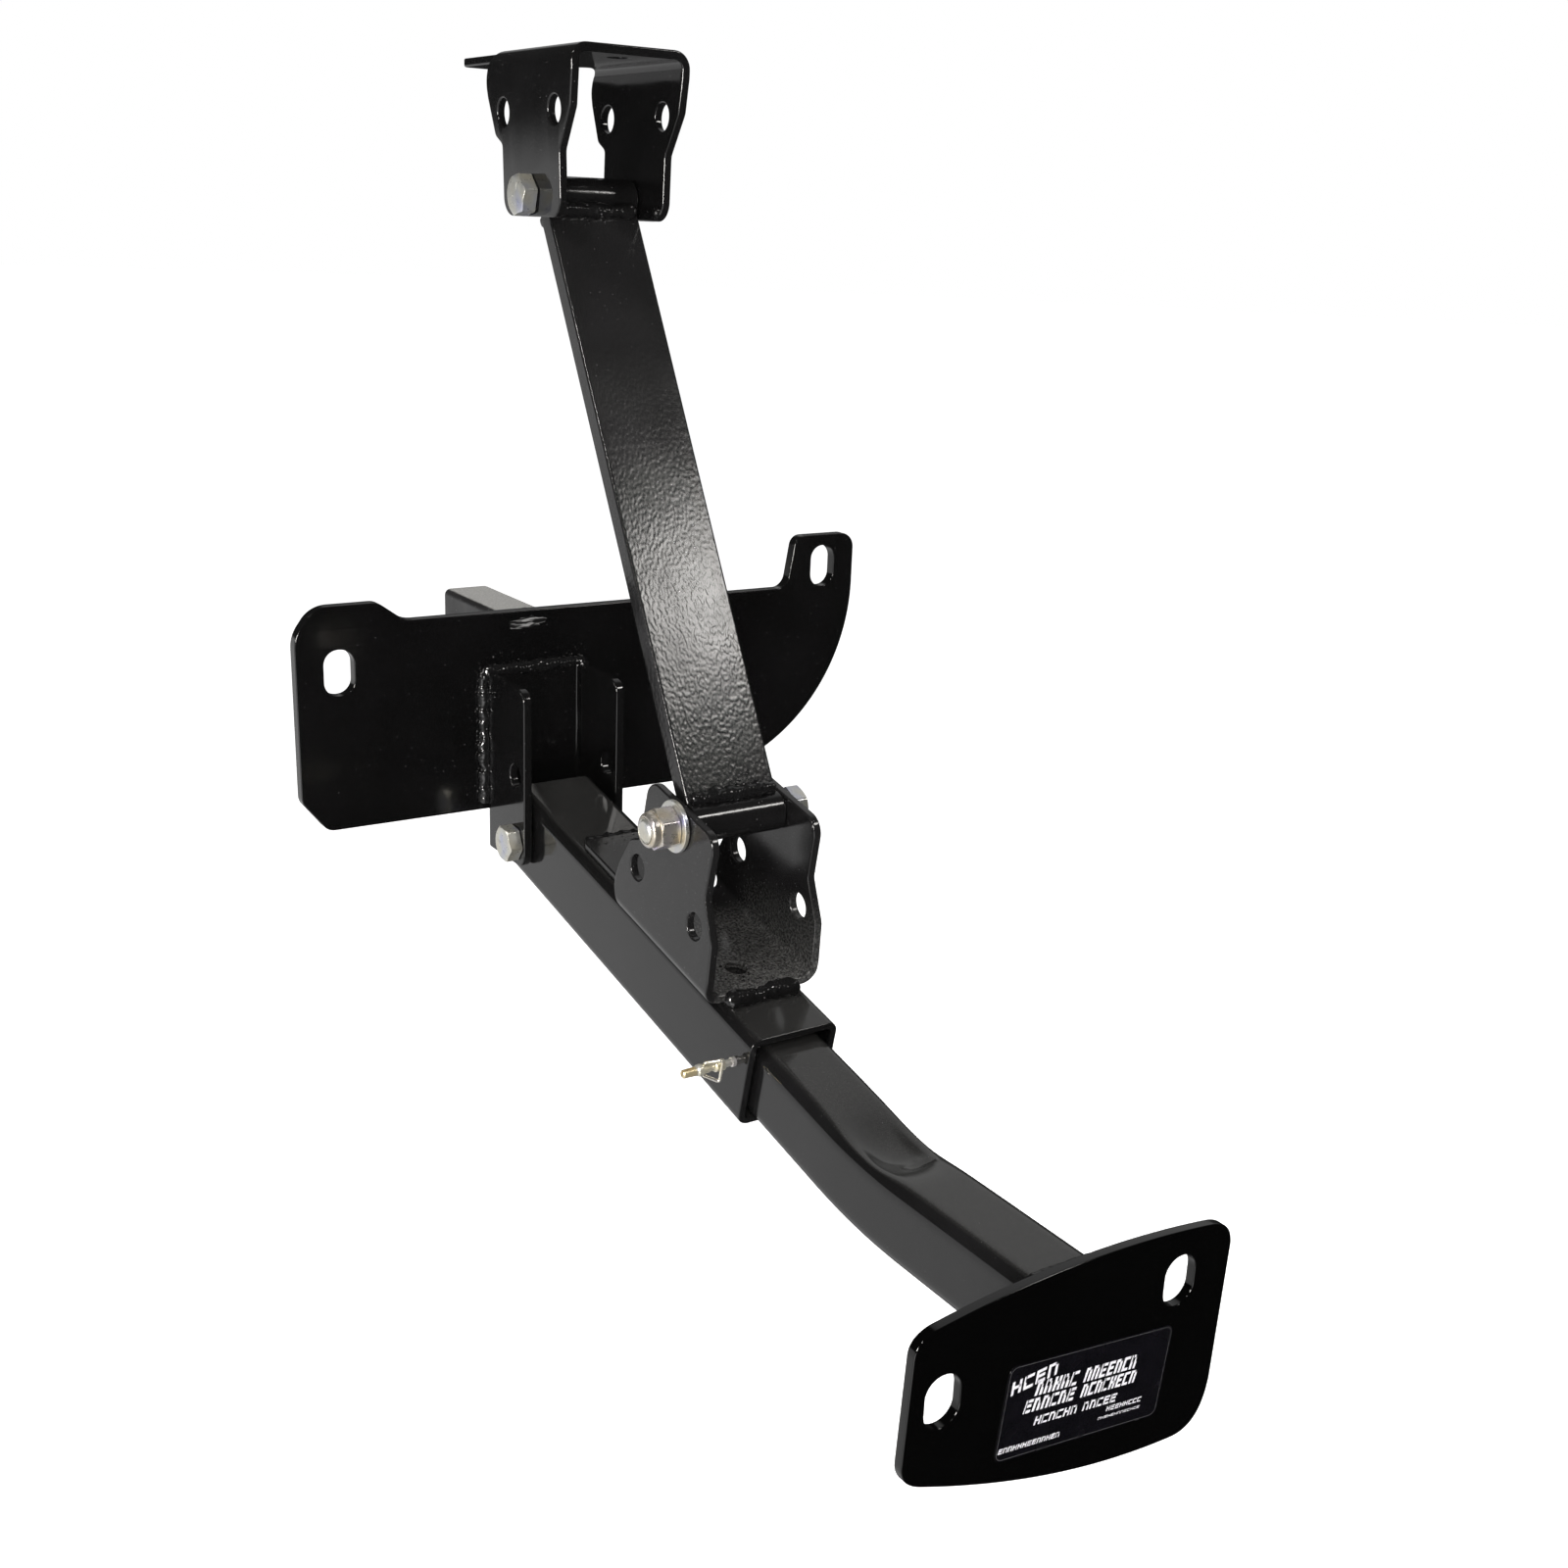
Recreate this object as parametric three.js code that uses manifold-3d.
// Hinged, telescoping tie-down arm that bolts under a truck to hold a camper down.
// A frame plate carries a hinge channel, a square main tube swings in it, a cranked
// slide tube with an end plate telescopes out of the main tube, and a flat-bar brace
// runs up to a second U-shaped bracket.
//
// Millimetres. +X is across the arm, +Y runs back towards the frame plate, +Z is up.
// The origin is on the rear face of the frame plate, in the middle plane of the hinge.

import * as THREE from 'three';
import { mergeVertices } from 'three/addons/utils/BufferGeometryUtils.js';
import Module from 'manifold-3d';

const wasm = await Module();
wasm.setup();

// ---------------------------------------------------------------- driving dimensions

const GAP = 0.3;                    // clearance left between touching pieces

const PLATE = 9.5;                  // thickness of the frame plate
const END_PLATE = 6.35;             // thickness of the end plate

const MAIN = 63.5;                  // main tube, outside width
const MAIN_WALL = 4.8;
const MAIN_CORNER = 8;              // outside corner radius
const MAIN_LENGTH = 333;
const HINGE_FROM_FRONT = 307.5;     // hinge axis, measured from the main tube's front end
const TUBE_TILT = 12;               // degrees, front end down

const HINGE_STANDOFF = 52.3;        // hinge axis in front of the frame plate's front face
const HINGE_DROP = 58;              // hinge axis below the origin

const CHANNEL = { width: 80.2, depth: 67, wall: 6.4, top: 57, bottom: -75, spareHole: 49.8 };

const SPACER = { width: 38.1, wall: 3.2, length: 108, top: 95 };

const BRACKET_WALL = 5.6;
const BRACKET = {
  halfWidth: 41.6,                  // half the outside width at the web
  lean: 2.3,                        // how far each ear has come in at the pivot
  bend: 11,                         // outside bend radius
  stripHalf: 25,                    // half the width of the long strip along the web
  stripFront: 61,                   // web's front edge, in front of the pivot
  stripRear: 136,                   // strip's reach behind the pivot
  holeSide: 36.5,                   // ear holes in front of and behind the pivot
  holeUp: 50.6,                     // ear holes towards the web from the pivot
  margin: 13,                       // ear past the pivot, away from the web
};
const LOWER_HEIGHT = 94.1;          // pivot to the outside of the web
const UPPER_HEIGHT = 89;
const LOWER_FROM_FRONT = 102.2;     // lower pivot, measured from the main tube's front end

const BRACE_LENGTH = 417;           // pivot to pivot
const BRACE_WIDTH = 65;
const BRACE_THICK = 13;
const BRACE_LEAN = 28.9;            // degrees, top end to the rear

const BOLT_R = 7.94;                // 5/8 inch bolts
const HOLE_R = 8.6;
const TAPPED_R = 8.24;              // threaded hole that the hinge bolt screws into
const BUSH_R = 12.7;
const HEX = 23.8;                   // across flats
const HEAD = 10;                    // bolt head thickness
const NUT_FLATS = 14;               // height of a nut's hexagon
const LOCK_NUT = 19;                // height of a lock nut with its collar
const WASHER = { r: 16.5, t: 2.8 };

const SLIDE = 49.6;                 // slide tube, outside width
const SLIDE_WALL = 4.8;
const SLIDE_CORNER = 9;
const SLIDE_DROP = 1.85;            // the slide tube rests on the main tube's floor
const SLIDE_INSIDE = 215;           // length of slide tube inside the main tube
const CRANK_FROM_FRONT = 110.4;     // crank, measured forward from the main tube's front end
const CRANK_RADIUS = 370;
const CRANK_TO_PLATE = 143.5;
const SLIDE_TRAVEL = 80;

const PIN_FROM_FRONT = 14;          // lock pin, measured back from the main tube's front end
const PIN_UP = 8;
const PIN_R = 3;
const PIN_CROSS_HOLE = -21.5;       // wire clip's axis, out from the main tube's side

// ---------------------------------------------------------------- materials

function steel(color, roughness = 0.4, metalness = 0.3) {
  return new THREE.MeshStandardMaterial({ color, roughness, metalness });
}
const paint = () => steel('#0b0b0c', 0.28, 0.2);
const brazed = () => steel('#141416', 0.5, 0.3);
const zinc = () => steel('#b9b6a8', 0.35, 0.9);
const gold = () => steel('#c8a75a', 0.3, 0.9);
const paper = () => steel('#09090c', 0.35, 0.0);

// ---------------------------------------------------------------- solids and meshes

const X = new THREE.Vector3(1, 0, 0);
const Y = new THREE.Vector3(0, 1, 0);
const Z = new THREE.Vector3(0, 0, 1);
const rad = THREE.MathUtils.degToRad;

function toSolid(geometry) {
  const bare = geometry.clone();
  bare.deleteAttribute('normal');
  bare.deleteAttribute('uv');
  const merged = mergeVertices(bare, 1e-4);
  return new wasm.Manifold(new wasm.Mesh({
    numProp: 3,
    vertProperties: merged.attributes.position.array,
    triVerts: merged.index.array,
  }));
}

function toGeometry(solid) {
  const mesh = solid.getMesh();
  const geometry = new THREE.BufferGeometry();
  geometry.setAttribute('position', new THREE.BufferAttribute(mesh.vertProperties, 3));
  geometry.setIndex(new THREE.BufferAttribute(mesh.triVerts, 1));
  geometry.computeVertexNormals();
  return geometry;
}

function part(name, solid, material) {
  const mesh = new THREE.Mesh(toGeometry(solid), material);
  mesh.name = name;
  return mesh;
}

// An outline drawn in two axes and given depth along the third.
function extruded(shape, from, to, basis, curveSegments = 6) {
  const geometry = new THREE.ExtrudeGeometry(shape, {
    depth: to - from,
    bevelEnabled: false,
    curveSegments,
  });
  geometry.translate(0, 0, from);
  geometry.applyMatrix4(new THREE.Matrix4().makeBasis(...basis));
  return toSolid(geometry);
}

// Outline in Y and Z, depth along X.
const alongX = (shape, from, to, segments) => extruded(shape, from, to, [Y, Z, X], segments);

// Outline in X and Z, depth along Y, from the lower y to the higher y.
const alongY = (shape, from, to, segments) =>
  extruded(shape, -to, -from, [X, Z, Y.clone().negate()], segments);

function cylinderX(radius, from, to, y = 0, z = 0, sides = 24) {
  const geometry = new THREE.CylinderGeometry(radius, radius, to - from, sides);
  geometry.rotateZ(Math.PI / 2);
  geometry.translate((from + to) / 2, y, z);
  return toSolid(geometry);
}

function cylinderZ(radius, from, to, x = 0, y = 0, sides = 28) {
  const geometry = new THREE.CylinderGeometry(radius, radius, to - from, sides);
  geometry.rotateX(Math.PI / 2);
  geometry.translate(x, y, (from + to) / 2);
  return toSolid(geometry);
}

function box(x0, x1, y0, y1, z0, z1) {
  const geometry = new THREE.BoxGeometry(x1 - x0, y1 - y0, z1 - z0);
  geometry.translate((x0 + x1) / 2, (y0 + y1) / 2, (z0 + z1) / 2);
  return toSolid(geometry);
}

// A closed outline through corner points given as [x, y, radius], counter-clockwise.
function rounded(corners) {
  const shape = new THREE.Shape();
  corners.forEach(([x, y, radius], i) => {
    const here = new THREE.Vector2(x, y);
    const before = new THREE.Vector2(...corners.at(i - 1)).sub(here).normalize();
    const after = new THREE.Vector2(...corners[(i + 1) % corners.length]).sub(here).normalize();
    if (radius === 0) {
      if (i === 0) shape.moveTo(x, y);
      else shape.lineTo(x, y);
      return;
    }
    const half = Math.acos(before.dot(after)) / 2;
    const back = radius / Math.tan(half);
    const first = here.clone().addScaledVector(before, back);
    const last = here.clone().addScaledVector(after, back);
    const middle = before.clone().add(after).normalize();
    const centre = here.clone().addScaledVector(middle, radius / Math.sin(half));
    const from = Math.atan2(first.y - centre.y, first.x - centre.x);
    const to = Math.atan2(last.y - centre.y, last.x - centre.x);
    if (i === 0) shape.moveTo(first.x, first.y);
    else shape.lineTo(first.x, first.y);
    shape.absarc(centre.x, centre.y, radius, from, to, before.cross(after) > 0);
  });
  shape.closePath();
  return shape;
}

const squareOutline = (half, radius) =>
  rounded([[-half, -half, radius], [half, -half, radius], [half, half, radius], [-half, half, radius]]);

const slotOutline = (x, z, halfWide, halfTall) =>
  rounded([
    [x - halfWide, z - halfTall, halfWide - 0.5],
    [x + halfWide, z - halfTall, halfWide - 0.5],
    [x + halfWide, z + halfTall, halfWide - 0.5],
    [x - halfWide, z + halfTall, halfWide - 0.5],
  ]);

// ---------------------------------------------------------------- fasteners, along X

function hexagon(from, to) {
  const geometry = new THREE.CylinderGeometry(HEX / Math.sqrt(3), HEX / Math.sqrt(3), to - from, 6);
  geometry.rotateZ(Math.PI / 2);
  geometry.translate((from + to) / 2, 0, 0);
  return toSolid(geometry);
}

// A bolt whose head sits at headX and points to side, with its end at endX.
function bolt(headX, endX, side) {
  const outer = headX + side * HEAD;
  const head = hexagon(Math.min(headX, outer), Math.max(headX, outer));
  const root = headX + side;        // 1 mm inside the head
  const shank = cylinderX(BOLT_R, Math.min(root, endX), Math.max(root, endX), 0, 0, 24);
  return head.add(shank);
}

function plainNut(from, side) {
  const to = from + side * NUT_FLATS;
  const body = hexagon(Math.min(from, to), Math.max(from, to));
  return body.subtract(cylinderX(BOLT_R + GAP, -100, 100, 0, 0, 24));
}

function lockNut(from, side) {
  const to = from + side * LOCK_NUT;
  const collar = cylinderX(10.6, Math.min(from, to), Math.max(from, to));
  const bored = collar.subtract(cylinderX(BOLT_R + GAP, -100, 100, 0, 0, 24));
  return plainNut(from, side).add(bored);
}

function washer(from, side) {
  const to = from + side * WASHER.t;
  const disc = cylinderX(WASHER.r, Math.min(from, to), Math.max(from, to));
  return disc.subtract(cylinderX(BOLT_R + GAP, -100, 100, 0, 0, 24));
}

// ---------------------------------------------------------------- frame plate and what is welded to it

const hinge = new THREE.Vector3(0, -PLATE - HINGE_STANDOFF, -HINGE_DROP);

function framePlate() {
  const outline = rounded([
    [-160, -47.5, 10],
    [287, -50, 150],
    [287, 140, 12],
    [231, 140, 9],
    [224, 99, 11],
    [-99, 100, 20],
    [-119, 114.3, 12],
    [-165, 114.3, 22],
    [-179.5, 94, 26],
    [-178.5, -24, 10],
  ]);
  outline.holes.push(slotOutline(-148.2, 66.8, 11, 16.5), slotOutline(257.2, 114.8, 11, 16.5));
  return alongY(outline, -PLATE, 0, 7);
}

function spacerTube() {
  const half = SPACER.width / 2;
  const outside = alongY(squareOutline(half, 5), GAP, SPACER.length, 4);
  const inside = alongY(squareOutline(half - SPACER.wall, 1.8), -1, SPACER.length + 1, 3);
  return outside.subtract(inside).translate([0, 0, SPACER.top - half]);
}

function spacerWeld() {
  const half = SPACER.width / 2;
  const ring = alongY(squareOutline(half + 4.5, 6), GAP, GAP + 4, 4);
  const tube = alongY(squareOutline(half + GAP, 5), -5, 20, 4);
  return ring.subtract(tube).translate([0, 0, SPACER.top - half]);
}

// Bent channel with its web against the plate and its ears pointing forward.
// A clearance above zero gives the outside shape grown by that much, for cutting.
function hingeChannel(clearance = 0) {
  const back = -PLATE - GAP + clearance;
  const front = -PLATE - CHANNEL.depth;
  const half = CHANNEL.width / 2 + clearance;
  const inner = CHANNEL.width / 2 - CHANNEL.wall;
  const web = -PLATE - GAP - CHANNEL.wall;
  const section = clearance > 0
    ? rounded([[-half, front, 0], [half, front, 0], [half, back, 10], [-half, back, 10]])
    : rounded([
      [-half, front, 0],
      [-inner, front, 0],
      [-inner, web, 10 - CHANNEL.wall],
      [inner, web, 10 - CHANNEL.wall],
      [inner, front, 0],
      [half, front, 0],
      [half, back, 10],
      [-half, back, 10],
    ]);
  const tall = extruded(section, CHANNEL.bottom, CHANNEL.top, [X, Y, Z], 4);
  if (clearance > 0) return tall;
  const ear = rounded([
    [front, CHANNEL.bottom, 12],
    [back, CHANNEL.bottom, 12],
    [back, CHANNEL.top, 0],
    [front, CHANNEL.top, 10],
  ]);
  return tall
    .intersect(alongX(ear, -60, 60))
    .subtract(cylinderX(HOLE_R, -60, 0, hinge.y, hinge.z))
    .subtract(cylinderX(TAPPED_R, 0, 60, hinge.y, hinge.z))
    .subtract(cylinderX(HOLE_R, -60, 60, hinge.y, hinge.z + CHANNEL.spareHole));
}

// Fillet along the top and both sides of the channel's web.
function channelWeld() {
  const half = CHANNEL.width / 2 + 5;
  const block = box(-half, half, -PLATE - 8, -PLATE - GAP, -44, CHANNEL.top + 5);
  return block.subtract(hingeChannel(GAP));
}

// ---------------------------------------------------------------- main tube and what is on it
// These are drawn with the hinge axis at y = 0, z = 0 and the tube's front end at
// y = -HINGE_FROM_FRONT.

const fromFront = (distance) => distance - HINGE_FROM_FRONT;

function mainTube() {
  const outside = alongY(squareOutline(MAIN / 2, MAIN_CORNER), fromFront(0), fromFront(MAIN_LENGTH), 5);
  const inside = alongY(
    squareOutline(MAIN / 2 - MAIN_WALL, MAIN_CORNER - MAIN_WALL),
    fromFront(-1),
    fromFront(MAIN_LENGTH + 1),
    3,
  );
  const pinHole = cylinderX(PIN_R + 0.5, -40, 0, fromFront(PIN_FROM_FRONT), PIN_UP, 20);
  return outside.subtract(inside).subtract(cylinderX(HOLE_R, -40, 40)).subtract(pinHole);
}

function pivotSleeve() {
  const half = MAIN / 2 - MAIN_WALL - GAP;
  return cylinderX(BUSH_R, -half, half).subtract(cylinderX(HOLE_R, -50, 50));
}

// U-shaped bracket with the pivot at the origin, its web up at z = height and a long
// flat strip running back from the web.
function bracket(height) {
  const { margin } = BRACKET;
  const wall = BRACKET_WALL;
  const top = BRACKET.halfWidth;
  const drop = (height + margin) / height;
  const foot = top - BRACKET.lean * drop;
  const inBend = BRACKET.bend - wall;
  const section = rounded([
    [foot, -margin, 0],
    [top, height, BRACKET.bend],
    [-top, height, BRACKET.bend],
    [-foot, -margin, 0],
    [-foot + wall, -margin, 0],
    [-top + wall, height - wall, inBend],
    [top - wall, height - wall, inBend],
    [foot - wall, -margin, 0],
  ]);
  const ear = rounded([
    [39.5, -margin, 12],
    [39.5, 31, 4],
    [49.5, 36.5, 6],
    [59.5, 60, 25],
    [62.5, height - 17, 20],
    [53, height, 12],
    [-BRACKET.stripFront, height, 2],
    [-57.8, 52, 9],
    [-42.5, 27, 7],
    [-42.5, -margin, 12],
  ]);
  const flat = rounded([
    [-BRACKET.stripHalf, -BRACKET.stripFront, 4],
    [BRACKET.stripHalf, -BRACKET.stripFront, 4],
    [BRACKET.stripHalf, BRACKET.stripRear, 5],
    [-BRACKET.stripHalf, BRACKET.stripRear, 5],
  ]);
  let solid = alongY(section, -70, 70, 3)
    .intersect(alongX(ear, -60, 60, 3))
    .add(extruded(flat, height - wall, height, [X, Y, Z], 3))
    .subtract(cylinderX(HOLE_R, -60, 60))
    .subtract(cylinderZ(7, height - 20, height + 20, 4, -BRACKET.holeSide, 24));
  for (const side of [-1, 1]) {
    solid = solid.subtract(cylinderX(HOLE_R, -60, 60, side * BRACKET.holeSide, BRACKET.holeUp));
  }
  return solid;
}

// A bead across the main tube's top, in the corner in front of (-1) or behind (1) the
// end of the lower bracket's strip.
function stripWeld(edge, direction) {
  const floor = MAIN / 2 + GAP;
  const start = edge + direction * GAP;
  const toe = start + direction * 9;
  const section = rounded([[start, floor, 0], [toe, floor, 0], [start, floor + 5, 0]]);
  return alongX(section, -22, 22);
}

// ---------------------------------------------------------------- brace, with its lower pivot at the origin

function bushTube(z) {
  const half = BRACE_WIDTH / 2;
  const tube = cylinderX(BUSH_R, -half, half, 0, z, 28);
  return tube.subtract(cylinderX(HOLE_R, -half - 1, half + 1, 0, z));
}

function braceBar() {
  const half = BRACE_THICK / 2;
  const wide = BRACE_WIDTH / 2;
  const section = rounded([[-wide, -half, 2], [wide, -half, 2], [wide, half, 2], [-wide, half, 2]]);
  return extruded(section, 0, BRACE_LENGTH, [X, Y, Z], 3)
    .subtract(cylinderX(BUSH_R + GAP, -50, 50, 0, 0, 28))
    .subtract(cylinderX(BUSH_R + GAP, -50, 50, 0, BRACE_LENGTH, 28));
}

// Bead where the bar's face meets a bush; face is -1 for the front, 1 for the rear,
// and end is 1 for the lower bush, whose bar runs up, or -1 for the upper one.
function bushWeld(face, end) {
  const middle = end > 0 ? 0 : BRACE_LENGTH;
  const half = BRACE_WIDTH / 2 - 1.5;
  const bead = cylinderX(5.2, -half, half, face * 9, middle + end * 12.6, 18);
  return bead
    .subtract(cylinderX(BUSH_R + GAP, -50, 50, 0, middle, 28))
    .subtract(box(-50, 50, -BRACE_THICK / 2 - GAP, BRACE_THICK / 2 + GAP, -30, BRACE_LENGTH + 30));
}

// ---------------------------------------------------------------- slide tube and what is on it
// Drawn in the same frame as the main tube: straight inside it, then cranked level.

const crankAngle = rad(TUBE_TILT);
const crankSetback = CRANK_RADIUS * Math.tan(crankAngle / 2);
const crankStart = SLIDE_INSIDE + CRANK_FROM_FRONT - crankSetback;
const crankArc = CRANK_RADIUS * crankAngle;
const slideLength = crankStart + crankArc + CRANK_TO_PLATE - crankSetback;

// Place and direction of the slide tube's centre line, a distance along from its rear end.
function slideCentre(along) {
  const turned = Math.min(Math.max(along - crankStart, 0), crankArc) / CRANK_RADIUS;
  const past = Math.max(along - crankStart - crankArc, 0);
  const straight = Math.min(along, crankStart);
  const forward = straight + CRANK_RADIUS * Math.sin(turned) + past * Math.cos(turned);
  const up = CRANK_RADIUS * (1 - Math.cos(turned)) + past * Math.sin(turned);
  return { y: fromFront(SLIDE_INSIDE) - forward, z: up - SLIDE_DROP, turned };
}

// Bends a bar, drawn along Y from 0 to 1 per station, onto the slide tube's centre line.
function alongSlide(outline, stations) {
  const geometry = new THREE.ExtrudeGeometry(outline, {
    depth: stations.length - 1,
    steps: stations.length - 1,
    bevelEnabled: false,
    curveSegments: 3,
  });
  const position = geometry.attributes.position;
  for (let i = 0; i < position.count; i += 1) {
    const across = position.getX(i);
    const height = position.getY(i);
    const { y, z, turned } = slideCentre(stations[Math.round(position.getZ(i))]);
    position.setXYZ(i, across, y + height * Math.sin(turned), z + height * Math.cos(turned));
  }
  return toSolid(geometry);
}

function slideTube() {
  const bends = 6;
  const stations = [0];
  for (let i = 0; i <= bends; i += 1) stations.push(crankStart + (crankArc * i) / bends);
  stations.push(slideLength - GAP);
  const openEnds = stations.with(0, -1).with(-1, slideLength + 1);
  const outside = alongSlide(squareOutline(SLIDE / 2, SLIDE_CORNER), stations);
  const inside = alongSlide(squareOutline(SLIDE / 2 - SLIDE_WALL, SLIDE_CORNER - SLIDE_WALL), openEnds);
  const slotFront = fromFront(PIN_FROM_FRONT) - PIN_R - 0.5;
  const slotRear = fromFront(PIN_FROM_FRONT) + SLIDE_TRAVEL + PIN_R + 1;
  const slot = box(-30, -SLIDE / 2 + SLIDE_WALL + 1, slotFront, slotRear, PIN_UP - 3.6, PIN_UP + 3.6);
  return outside.subtract(inside).subtract(slot);
}

// The end plate and its weld and label are drawn upright, with the slide tube's end at
// the origin and the plate's rear face at y = 0.
function endPlate() {
  const outline = new THREE.Shape();
  outline.moveTo(-102, -48.1);
  outline.lineTo(-98.8, 9.9);
  outline.quadraticCurveTo(-98.2, 19.4, -86, 22.5);
  outline.quadraticCurveTo(8, 36.9, 101, 23.9);
  outline.quadraticCurveTo(116, 21.4, 116.8, 7.9);
  outline.lineTo(112.8, -74.1);
  outline.quadraticCurveTo(110, -104.1, 88, -104.6);
  outline.quadraticCurveTo(5, -103.1, -89, -65.6);
  outline.quadraticCurveTo(-103, -60.1, -102, -48.1);
  outline.closePath();
  outline.holes.push(slotOutline(-79, -20.1, 11, 15), slotOutline(79.6, -3.6, 11, 15));
  return alongY(outline, -END_PLATE, 0, 7);
}

function endPlateWeld() {
  const ring = alongY(squareOutline(SLIDE / 2 + 6, 9), GAP, GAP + 5, 4);
  return ring.subtract(alongY(squareOutline(SLIDE / 2 + GAP, SLIDE_CORNER), -5, 20, 4));
}

function label() {
  const sticker = rounded([[-58, -27.5, 5], [58, -27.5, 5], [58, 27.5, 5], [-58, 27.5, 5]]);
  return alongY(sticker, -0.4, 0, 4);
}

// ---------------------------------------------------------------- lock pin and its clip
// Drawn along X with the main tube's outside face at x = 0 and the tip at negative x.

function lockPin() {
  const nose = MAIN / 2 - 21;
  const lathe = new THREE.LatheGeometry([
    [0, nose], [PIN_R, nose], [PIN_R, -4], [4.4, -4], [4.4, -11.5], [PIN_R, -11.5], [PIN_R, -23.4],
    [4, -23.4], [4, -26.4], [PIN_R, -26.4], [PIN_R, -37], [0, -37],
  ].map(([r, x]) => new THREE.Vector2(r, x)).reverse(), 20);
  lathe.rotateZ(-Math.PI / 2);
  const split = box(-40, -28, -0.7, 0.7, -5, 5);
  return toSolid(lathe).subtract(split);
}

function rod(from, to, radius) {
  const start = new THREE.Vector3(...from);
  const end = new THREE.Vector3(...to);
  const geometry = new THREE.CylinderGeometry(radius, radius, start.distanceTo(end), 8);
  const turn = new THREE.Quaternion().setFromUnitVectors(Y, end.clone().sub(start).normalize());
  geometry.applyQuaternion(turn);
  geometry.translate(...start.add(end).multiplyScalar(0.5));
  return toSolid(geometry);
}

function ball(centre, radius) {
  const geometry = new THREE.SphereGeometry(radius, 10, 8);
  geometry.translate(...centre);
  return toSolid(geometry);
}

// A bail of wire: two legs run out from the pin's cross hole to a crossbar. It is drawn
// with the cross hole at the origin.
function lockClip() {
  const wire = 1.1;
  const peg = [0, 0, PIN_R + GAP + wire];
  const corner = [8.5, -5.4, 6.8];
  const below = ([x, y, z]) => [x, y, -z];
  return ball(peg, wire)
    .add(rod(peg, corner, wire))
    .add(ball(corner, wire))
    .add(rod(corner, below(corner), wire))
    .add(ball(below(corner), wire))
    .add(rod(below(corner), below(peg), wire))
    .add(ball(below(peg), wire));
}

// ---------------------------------------------------------------- assembly

function at(group, x, y, z, tilt = 0) {
  group.position.set(x, y, z);
  group.rotation.x = rad(tilt);
  return group;
}

const CHANNEL_HALF = CHANNEL.width / 2;
// The ears lean, so a bolt head or washer seats a little outside the face at the pivot.
const EAR_HALF = BRACKET.halfWidth - BRACKET.lean + 0.5;

// The lower bolt has its nut on the left, with a washer under it.
function lowerBoltSet() {
  const set = new THREE.Group();
  const face = EAR_HALF + GAP;
  const nutFace = -face - WASHER.t - GAP;
  set.add(
    part('lower_bolt', bolt(face, nutFace - LOCK_NUT - 1, 1), zinc()),
    part('lower_washer', washer(-face, -1), zinc()),
    part('lower_nut', lockNut(nutFace, -1), zinc()),
  );
  return set;
}

// The upper bolt has its head on the left and a plain nut on the right.
function upperBoltSet() {
  const set = new THREE.Group();
  const face = EAR_HALF + GAP;
  set.add(
    part('upper_bolt', bolt(-face, face + NUT_FLATS + 1, -1), zinc()),
    part('upper_nut', plainNut(face, 1), zinc()),
  );
  return set;
}

const object = new THREE.Group();
object.add(
  part('frame_plate', framePlate(), paint()),
  part('spacer_tube', spacerTube(), paint()),
  part('spacer_tube_weld', spacerWeld(), brazed()),
  part('hinge_channel', hingeChannel(), paint()),
  part('hinge_channel_weld', channelWeld(), brazed()),
  at(part('hinge_bolt', bolt(-CHANNEL_HALF - GAP, CHANNEL_HALF + 0.6, -1), zinc()), 0, hinge.y, hinge.z),
);

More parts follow.
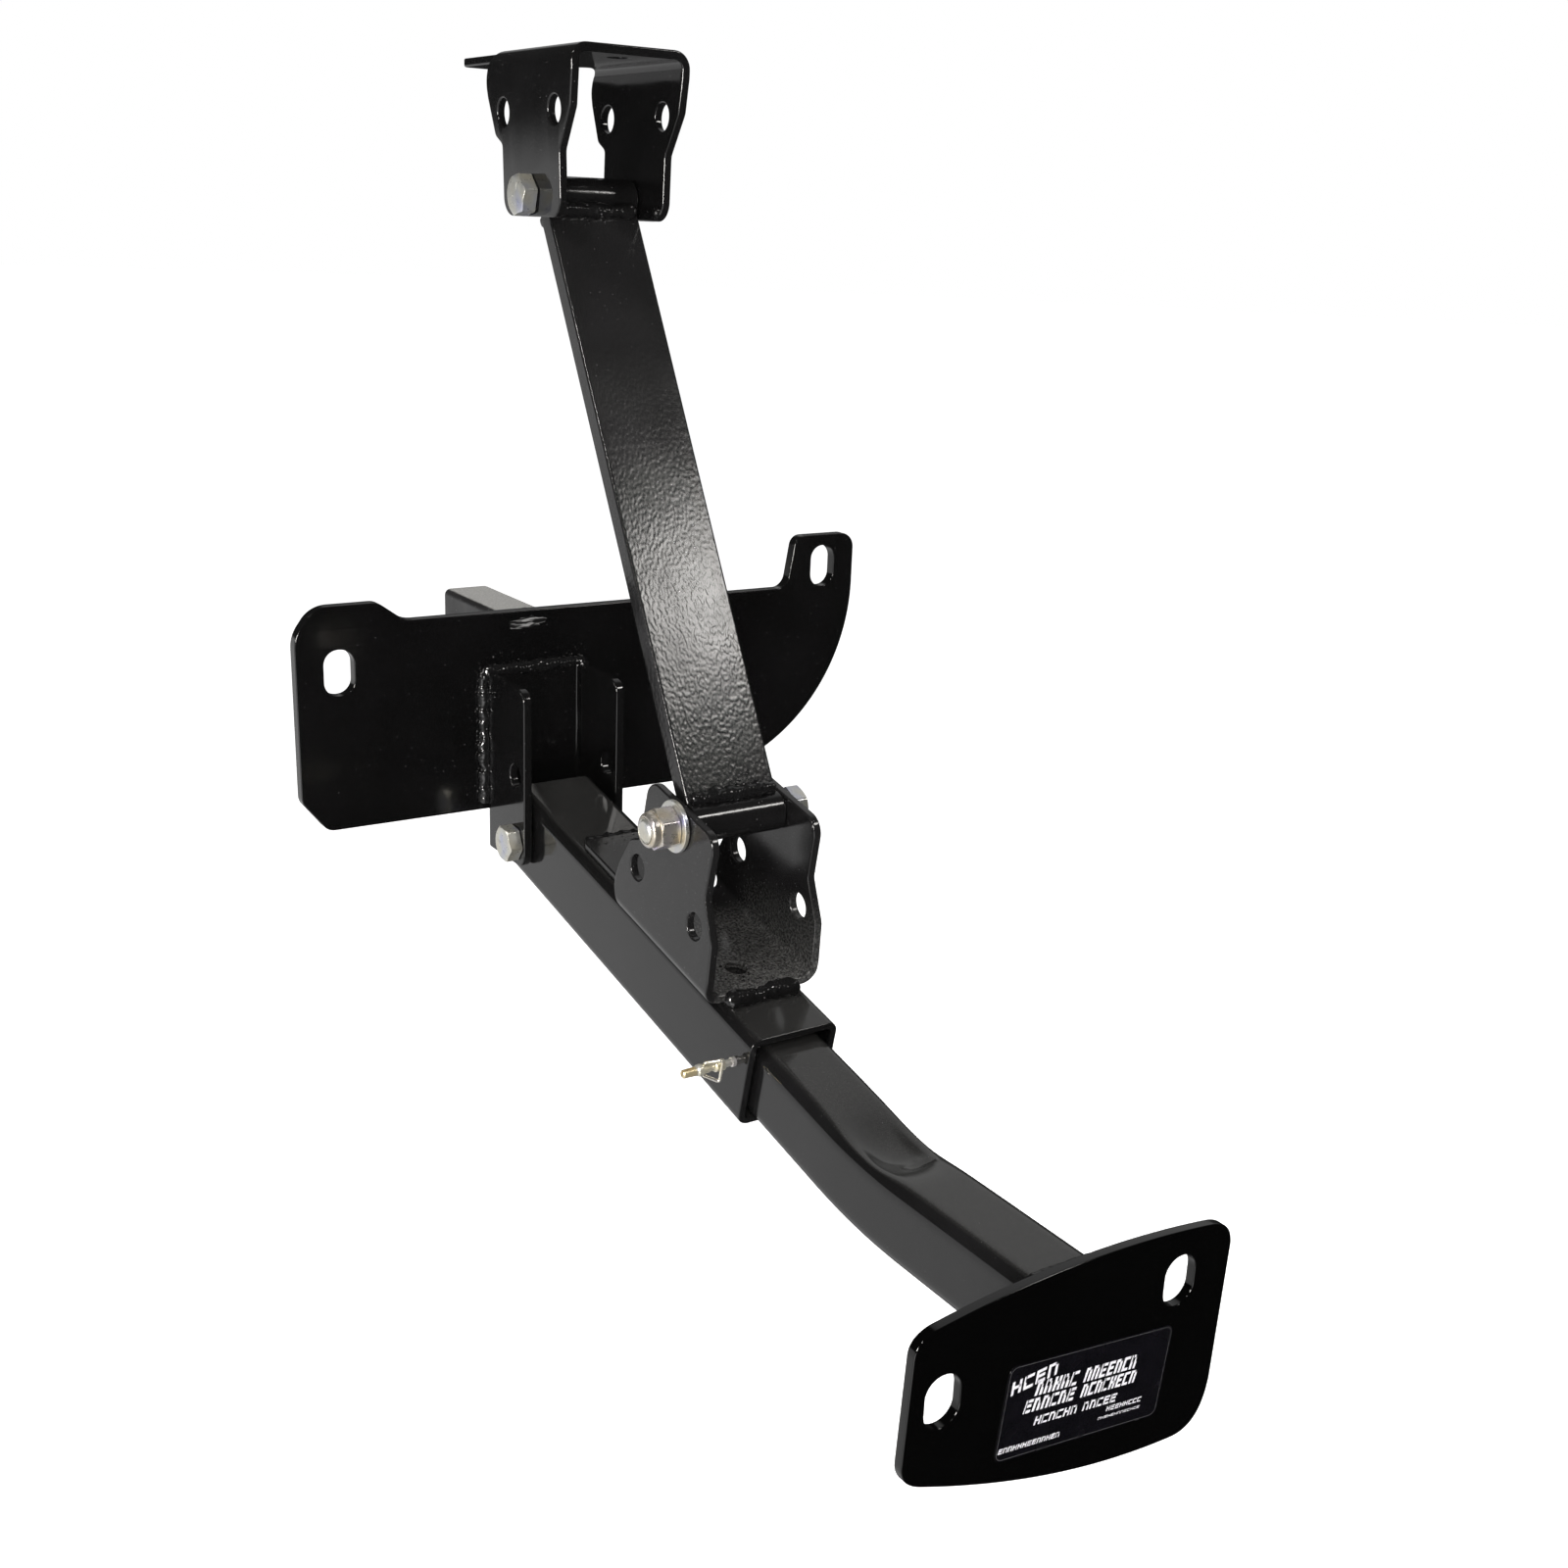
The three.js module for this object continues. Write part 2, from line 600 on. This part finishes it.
const arm = at(new THREE.Group(), hinge.x, hinge.y, hinge.z, TUBE_TILT);
const lowerY = fromFront(LOWER_FROM_FRONT);
const lowerZ = MAIN / 2 + GAP + LOWER_HEIGHT;
const lowerBracket = part('lower_bracket', bracket(LOWER_HEIGHT), paint());
lowerBracket.position.set(0, lowerY, lowerZ);
lowerBracket.rotation.y = Math.PI;
arm.add(
  part('main_tube', mainTube(), paint()),
  part('pivot_sleeve', pivotSleeve(), brazed()),
  lowerBracket,
  part('lower_bracket_front_weld', stripWeld(lowerY - BRACKET.stripFront, -1), brazed()),
  part('lower_bracket_rear_weld', stripWeld(lowerY + BRACKET.stripRear, 1), brazed()),
  at(lowerBoltSet(), 0, lowerY, lowerZ),
  part('slide_tube', slideTube(), paint()),
);

const plateEnd = slideCentre(slideLength);
const foot = at(new THREE.Group(), 0, plateEnd.y, plateEnd.z, -TUBE_TILT);
const sticker = part('label', label(), paper());
sticker.position.set(17.8, -END_PLATE - GAP, -49.7);
sticker.rotation.y = rad(6.9);
foot.add(part('end_plate', endPlate(), paint()), part('end_plate_weld', endPlateWeld(), brazed()), sticker);
arm.add(foot);

const pin = at(new THREE.Group(), -MAIN / 2, fromFront(PIN_FROM_FRONT), PIN_UP);
const clip = part('lock_clip', lockClip(), gold());
clip.position.x = PIN_CROSS_HOLE;
pin.add(part('lock_pin', lockPin(), gold()), clip);
arm.add(pin);

const brace = at(new THREE.Group(), 0, lowerY, lowerZ, -BRACE_LEAN - TUBE_TILT);
brace.add(
  part('brace_bar', braceBar(), paint()),
  part('lower_bush', bushTube(0), paint()),
  part('upper_bush', bushTube(BRACE_LENGTH), paint()),
  part('lower_bush_front_weld', bushWeld(-1, 1), brazed()),
  part('lower_bush_rear_weld', bushWeld(1, 1), brazed()),
  part('upper_bush_front_weld', bushWeld(-1, -1), brazed()),
  part('upper_bush_rear_weld', bushWeld(1, -1), brazed()),
);
arm.add(brace);

const upper = at(new THREE.Group(), 0, 0, BRACE_LENGTH, BRACE_LEAN);
upper.add(part('upper_bracket', bracket(UPPER_HEIGHT), paint()), upperBoltSet());
brace.add(upper);
object.add(arm);

export default object;
